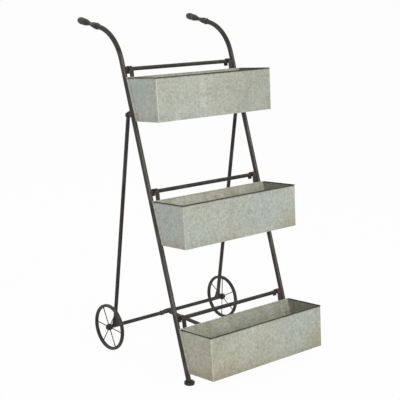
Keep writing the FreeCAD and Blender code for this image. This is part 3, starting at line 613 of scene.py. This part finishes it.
        # A painted highlight streaks down the left front fold, and the right front fold is darkened
        folds = (("left", ZINC_EDGE, FOLD_HIGHLIGHT[self.tier]), ("right", ZINC_DARK, FOLD_DARKENING))
        for name, tone, share in folds:
            rim = self.corners[name, "front", "rim"]
            fold = self.near_line(rim, self.corners[name, "front", "floor"], FOLD_REACH)
            fold_mask = self.times(fold, self.ramp(self.drip, *FOLD_STREAKS))
            color = self.over(color, tone, fold_mask, share)
        return color

    def dark_rim_band(self, color):
        """Darker band along the rim, just under the wired edge, at the front and both ends."""
        turns = (("left", "back"), ("left", "front"), ("right", "front"), ("right", "back"))
        rim = [self.corners[name, end, "rim"] for name, end in turns]
        for start, end in zip(rim, rim[1:]):
            edge = self.near_line(start, end, RIM_REACH)
            band_mask = self.times(edge, self.ramp(self.cloud, *RIM_BAND))
            color = self.over(color, IRON_MID, band_mask, RIM_BAND_SHARE)
        return color

    def build(self):
        color = self.mix(self.facing_out(), self.inside(), self.outside())
        color = self.mottled(self.stained(color))
        color = self.dark_rim_band(self.fold_highlight_and_darkening(color))
        grain = self.times(self.grain, GRAIN_RELIEF)
        relief = self.plus(grain, self.times(self.broad, BROAD_RELIEF))
        self.bump(relief, strength=0.30, distance=0.0015)
        return self.finish(color, self.cloud, ZINC_ROUGHNESS, metallic=0.25, specular=0.4)


def rim_wire(tier):
    """Dark wired edge, pale along the back."""
    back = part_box(tier + "_planter_rim")[1].y
    nodes = Nodes(tier + "_rim_iron")
    cloud = nodes.noise(scale=26.0, detail=5.0, roughness=0.6)
    fine = nodes.noise(scale=240.0, detail=3.0, roughness=0.5)
    dark = nodes.mix(nodes.ramp(cloud, *WIRE_MOTTLE), IRON_MID, IRON_DARK)
    dark = nodes.over(dark, IRON_WORN_AND_HIGHLIGHT, nodes.ramp(fine, *WIRE_SPECKS), WIRE_SPECK_SHARE)
    behind = nodes.ramp(nodes.axis("Y"), back - RIM_PALE_FROM, back - RIM_PALE_FULL)
    pale_back = nodes.mix(nodes.ramp(fine, *WIRE_BACK_MOTTLE), ZINC_WARM, ZINC_EDGE)
    color = nodes.over(dark, pale_back, behind, nodes.ramp(cloud, *WIRE_PATCHES))
    nodes.bump(fine, strength=0.3, distance=0.0005)
    return nodes.finish(color, cloud, WIRE_ROUGHNESS, metallic=0.10, specular=0.2)


def solder_metal():
    """Pale, slightly brighter metal of the folded and soldered tabs and the rivets."""
    nodes = Nodes("solder")
    cloud = nodes.noise(scale=40.0, detail=5.0, roughness=0.6)
    fine = nodes.noise(scale=260.0, detail=3.0, roughness=0.55)
    color = nodes.mix(nodes.ramp(cloud, *SOLDER_MOTTLE), ZINC_PALE, ZINC_EDGE)
    color = nodes.over(color, ZINC_DULL, nodes.ramp(fine, *SOLDER_SPECKS), SOLDER_SPECK_SHARE)
    nodes.bump(fine, strength=0.3, distance=0.0006)
    return nodes.finish(color, cloud, SOLDER_ROUGHNESS, metallic=0.4, specular=0.5)


def dress(node, material):
    for slot in frame["nodes"][node].material_slots:
        slot.material = material


def rail_joints(side):
    """Points where the cross bars and the pivot bracket meet one rail."""
    points = [at_rail(side, center_of(bar)) for bar in CROSS_BARS]
    points.append(at_rail(side, PIVOT - Vector((0, RAIL_RADIUS * 2, 0))))
    return points


def dress_side(name, side):
    """One rail with its ends, its leg and its wheel."""
    # The rails carry the painted highlight on their front-facing side
    rail = aged_iron(
        name + "_rail_iron", rail_joints(side), RUST_REACH["rail"], painted_highlight=HIGHLIGHT_SHARE,
    )
    dress(name + "_rail", rail)
    foot = [center_of(name + "_foot")]
    dress(name + "_foot", aged_iron(name + "_foot_iron", foot, RUST_REACH["foot"], WEAR["foot"]))
    turned = aged_iron(name + "_turned_iron", wear=WEAR["turned"], grain=TURNED_GRAIN)
    for part in ("_ferrule", "_grip"):
        dress(name + part, turned)
    pivot = aged_iron(name + "_pivot_iron", [at_rail(side, PIVOT)], RUST_REACH["pivot"])
    for part in ("_pivot_bracket", "_pivot_bolt", "_pivot_nut"):
        dress(name + part, pivot)
    leg_ends = [at_rail(side, PIVOT), at_rail(side, AXLE)]
    dress(name + "_leg", aged_iron(name + "_leg_iron", leg_ends, RUST_REACH["leg"]))
    hub = aged_iron(name + "_hub_iron", [AXLE], RUST_REACH["hub"], WEAR["hub"])
    for part in ("_axle_stub", "_hub_cap", "_wheel_hub"):
        dress(name + part, hub)
    dress(name + "_wheel_rim", aged_iron(name + "_wheel_iron", wear=WEAR["rim"]))
    spokes = aged_iron(name + "_spoke_iron", wear=WEAR["spoke"], tones=SPOKE_TONES[name])
    dress(name + "_wheel_spokes", spokes)


def dress_frame():
    for name, side in SIDES:
        dress_side(name, side)
    bar_iron = aged_iron("bar_iron", rail_joints(-1) + rail_joints(1), RUST_REACH["bar"])
    for bar in CROSS_BARS:
        dress(bar, bar_iron)
    stay_ends = [center_of("stay_sleeve"), at_middle(AXLE)]
    stay_iron = aged_iron("stay_iron", stay_ends, RUST_REACH["stay"])
    for part in ("stay_bar_collars", "stay_tube", "stay_sleeve", "stay_saddle"):
        dress(part, stay_iron)
    dress("axle_collars", collar_iron)
    axle_points = [at_rail(-1, AXLE), at_rail(1, AXLE), at_middle(AXLE)]
    dress("axle_tube", aged_iron("axle_iron", axle_points, RUST_REACH["axle"]))


def dress_planters():
    for tier in TIERS:
        dress(tier + "_planter_box", Galvanized(tier).build())
        dress(tier + "_planter_rim", rim_wire(tier))
        bar = center_of(tier + "_cross_bar")
        hooks = [Vector((side * (RAIL_X - HOOK_INSET), bar.y, bar.z)) for _, side in SIDES]
        hook_iron = aged_iron(tier + "_hook_iron", hooks, RUST_REACH["hook"])
        dress(tier + "_planter_hooks", hook_iron)
        dress(tier + "_planter_rivets", solder)


def bridge(mesh, rows):
    """Joins each closed row of points to the next with a band of four-sided faces."""
    for row, after in zip(rows, rows[1:]):
        for step in range(len(row)):
            beyond = (step + 1) % len(row)
            mesh.faces.new((row[step], row[beyond], after[beyond], after[step]))


def close_ends(mesh, rows):
    mesh.faces.new(list(reversed(rows[0])))
    mesh.faces.new(rows[-1])


def finish_piece(name, mesh, material, body):
    """Turns a finished mesh into a piece of the scene that rides on a body."""
    bmesh.ops.recalc_face_normals(mesh, faces=mesh.faces)
    data = bpy.data.meshes.new(name)
    mesh.to_mesh(data)
    mesh.free()
    piece = bpy.data.objects.new(name, data)
    bpy.context.scene.collection.objects.link(piece)
    data.materials.append(material)
    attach(piece, body)


def weld_bead(name, center, inner, thickness, body, seed, material):
    """Lumpy ring of weld round a bar that lies across the stand."""
    mesh = bmesh.new()
    axis = Vector((1, 0, 0))
    side = axis.orthogonal().normalized()
    other = axis.cross(side)
    rings = []
    for step in range(BEAD_AROUND):
        turn = 2 * math.pi * step / BEAD_AROUND
        out = side * math.cos(turn) + other * math.sin(turn)
        lump = 1 + BEAD_LUMPS * noise.noise(out * BEAD_GRAIN + Vector((seed, 0, 0)))
        ripple = 1 + BEAD_RIPPLE_SHARE * math.sin(BEAD_RIPPLES * turn)
        radius = thickness * lump * ripple
        ring = []
        for point in range(BEAD_ACROSS):
            angle = 2 * math.pi * point / BEAD_ACROSS
            reach = out * (inner + radius * math.cos(angle))
            ring.append(mesh.verts.new(center + reach + axis * (radius * math.sin(angle))))
        rings.append(ring)
    bridge(mesh, rings + rings[:1])
    finish_piece(name, mesh, material, body)


def leg_fillet(name, side, foot, up, seed):
    """Flared gusset of weld where a leg comes down on the axle tube, widest toward the middle."""
    mesh = bmesh.new()
    inward = Vector((-side, 0, 0))
    across = up.cross(inward)
    rows = []
    for level in range(FILLET_RINGS + 1):
        share = level / FILLET_RINGS
        flare = (1 - share) ** FILLET_CURVE
        row = []
        for step in range(FILLET_AROUND):
            turn = 2 * math.pi * step / FILLET_AROUND
            toward = math.cos(turn)
            spread = FILLET_INWARD[side] if toward > 0 else FILLET_OUTWARD
            out = inward * toward + across * math.sin(turn)
            change = Vector((seed, share * FILLET_CHANGE, 0))
            lump = 1 + FILLET_LUMPS * noise.noise(out * FILLET_GRAIN + change)
            wide = BAR_RADIUS + FILLET_SKIN + spread * flare * lump
            deep = BAR_RADIUS + FILLET_SKIN * lump
            reach = inward * (toward * wide) + across * (math.sin(turn) * deep)
            row.append(mesh.verts.new(foot + up * (FILLET_RISE * share) + reach))
        rows.append(row)
    bridge(mesh, rows)
    close_ends(mesh, rows)
    finish_piece(name, mesh, weld_iron, "rear_frame")


def corner_tab(name, rim, floor, inward, forward, body):
    """Folded and soldered tab along an inner corner of a planter."""
    mesh = bmesh.new()
    rows = []
    for level in range(TAB_STEPS + 1):
        share = TAB_MARGIN + (1 - 2 * TAB_MARGIN) * level / TAB_STEPS
        place = rim.lerp(floor, share) + (inward + forward) * TAB_INSET
        width = TAB_WIDTH * (1 + TAB_WAVER * noise.noise(place * TAB_GRAIN))
        row = [
            place,
            place + inward * width,
            place + inward * (width - TAB_THICKNESS) + forward * TAB_THICKNESS,
            place + (inward + forward) * TAB_THICKNESS,
        ]
        rows.append([mesh.verts.new(point) for point in row])
    bridge(mesh, rows)
    close_ends(mesh, rows)
    finish_piece(name, mesh, solder, body)


def add_welds():
    seed = 0.0
    for bar in CROSS_BARS:
        for name, side in SIDES:
            seed += SEED_STEP
            place = at_rail(side, center_of(bar)) - Vector((side * RAIL_RADIUS, 0, 0))
            weld_bead(
                name + "_weld_" + bar, place, BAR_RADIUS, BEAD_THICKNESS,
                "front_frame", seed, weld_iron,
            )
    up = (PIVOT - AXLE).normalized()
    up.x = 0
    for name, side in SIDES:
        seed += SEED_STEP
        foot = at_rail(side, AXLE) + up * (BAR_RADIUS * FILLET_FOOT)
        leg_fillet(name + "_weld_leg", side, foot, up, seed)
        lip = Vector((side * (COLLAR_END - LIP_RADIUS), AXLE.y, AXLE.z))
        weld_bead(
            name + "_collar_lip", lip, COLLAR_RADIUS - LIP_RADIUS / 3, LIP_RADIUS,
            "rear_frame", seed, collar_iron,
        )


def add_tabs():
    for tier in TIERS:
        corners = planter_corners(tier)
        for name, side in SIDES:
            for end, forward in ENDS:
                corner_tab(
                    tier + "_" + name + "_" + end + "_tab",
                    corners[name, end, "rim"],
                    corners[name, end, "floor"],
                    Vector((-side, 0, 0)),
                    Vector((0, forward, 0)),
                    tier + "_planter",
                )


def seen_directly(tree):
    """1 for rays from the camera, off gloss and through glass, which show the white background."""
    path = tree.nodes.new("ShaderNodeLightPath")
    seen = path.outputs["Is Camera Ray"]
    for ray in ("Is Glossy Ray", "Is Transmission Ray"):
        either = tree.nodes.new("ShaderNodeMath")
        either.operation = "MAXIMUM"
        tree.links.new(seen, either.inputs[0])
        tree.links.new(path.outputs[ray], either.inputs[1])
        seen = either.outputs["Value"]
    return seen


def add_stage():
    """White floor that keeps the object's shadow."""
    bpy.ops.mesh.primitive_plane_add(size=FLOOR_WIDTH, location=(0, 0, 0))
    floor = bpy.context.object
    floor.name = "floor"
    material = bpy.data.materials.new("floor_white")
    material.use_nodes = True
    tree = material.node_tree
    shader = tree.nodes["Principled BSDF"]
    shader.inputs["Base Color"].default_value = FLOOR_WHITE
    shader.inputs["Roughness"].default_value = FLOOR_ROUGHNESS
    glow = tree.nodes.new("ShaderNodeEmission")
    glow.inputs["Color"].default_value = WHITE
    glow.inputs["Strength"].default_value = 1.0
    dimmer = tree.nodes.new("ShaderNodeMath")
    dimmer.operation = "MULTIPLY"
    dimmer.inputs[1].default_value = FLOOR_GLOW
    blend = tree.nodes.new("ShaderNodeMixShader")
    tree.links.new(seen_directly(tree), dimmer.inputs[0])
    tree.links.new(dimmer.outputs["Value"], blend.inputs["Fac"])
    tree.links.new(shader.outputs["BSDF"], blend.inputs[1])
    tree.links.new(glow.outputs["Emission"], blend.inputs[2])
    tree.links.new(blend.outputs["Shader"], tree.nodes["Material Output"].inputs["Surface"])
    floor.data.materials.append(material)


def add_world():
    """Dim, even sky on the object, behind a white background."""
    world = bpy.data.worlds.new("studio")
    bpy.context.scene.world = world
    world.use_nodes = True
    tree = world.node_tree
    sky = tree.nodes["Background"]
    sky.inputs["Color"].default_value = WHITE
    sky.inputs["Strength"].default_value = SKY_STRENGTH
    backdrop = tree.nodes.new("ShaderNodeBackground")
    backdrop.inputs["Color"].default_value = WHITE
    backdrop.inputs["Strength"].default_value = 1.0
    blend = tree.nodes.new("ShaderNodeMixShader")
    tree.links.new(seen_directly(tree), blend.inputs["Fac"])
    tree.links.new(sky.outputs["Background"], blend.inputs[1])
    tree.links.new(backdrop.outputs["Background"], blend.inputs[2])
    tree.links.new(blend.outputs["Shader"], tree.nodes["World Output"].inputs["Surface"])


def add_lamps():
    for lamp in LAMPS:
        data = bpy.data.lights.new(lamp.name, "AREA")
        data.shape = "SQUARE"
        data.size = lamp.width
        data.energy = lamp.power
        light = bpy.data.objects.new(lamp.name, data)
        bpy.context.scene.collection.objects.link(light)
        light.location = lamp.place
        ahead = Vector(lamp.aim) - Vector(lamp.place)
        light.rotation_euler = ahead.to_track_quat("-Z", "Y").to_euler()


def add_camera():
    data = bpy.data.cameras.new("camera")
    data.sensor_width = CAMERA_SENSOR
    data.sensor_fit = "HORIZONTAL"
    data.lens = CAMERA_LENS
    data.clip_end = CAMERA_REACH
    camera = bpy.data.objects.new("camera", data)
    bpy.context.scene.collection.objects.link(camera)
    yaw = math.radians(CAMERA_YAW)
    pitch = math.radians(CAMERA_PITCH)
    roll = math.radians(CAMERA_ROLL)
    ahead = Vector((
        math.sin(yaw) * math.cos(pitch),
        math.cos(yaw) * math.cos(pitch),
        math.sin(pitch),
    ))
    level_right = Vector((math.cos(yaw), -math.sin(yaw), 0))
    level_up = level_right.cross(ahead)
    right = level_right * math.cos(roll) + level_up * math.sin(roll)
    up = level_up * math.cos(roll) - level_right * math.sin(roll)
    turn = Matrix((right, up, -ahead)).transposed().to_4x4()
    place = Vector((CAMERA_X, CAMERA_Y_FROM_FEET + FEET_Y, CAMERA_Z))
    camera.matrix_world = Matrix.Translation(place) @ turn
    bpy.context.scene.camera = camera


weld_iron = aged_iron("weld_iron", wear=WEAR["weld"], grain=WELD_GRAIN)
collar_iron = aged_iron("collar_iron", [AXLE], RUST_REACH["collar"], WEAR["collar"])
solder = solder_metal()
dress_frame()
dress_planters()
add_welds()
add_tabs()
add_stage()
add_world()
add_lamps()
add_camera()

scene = bpy.context.scene
scene.view_settings.view_transform = "Standard"
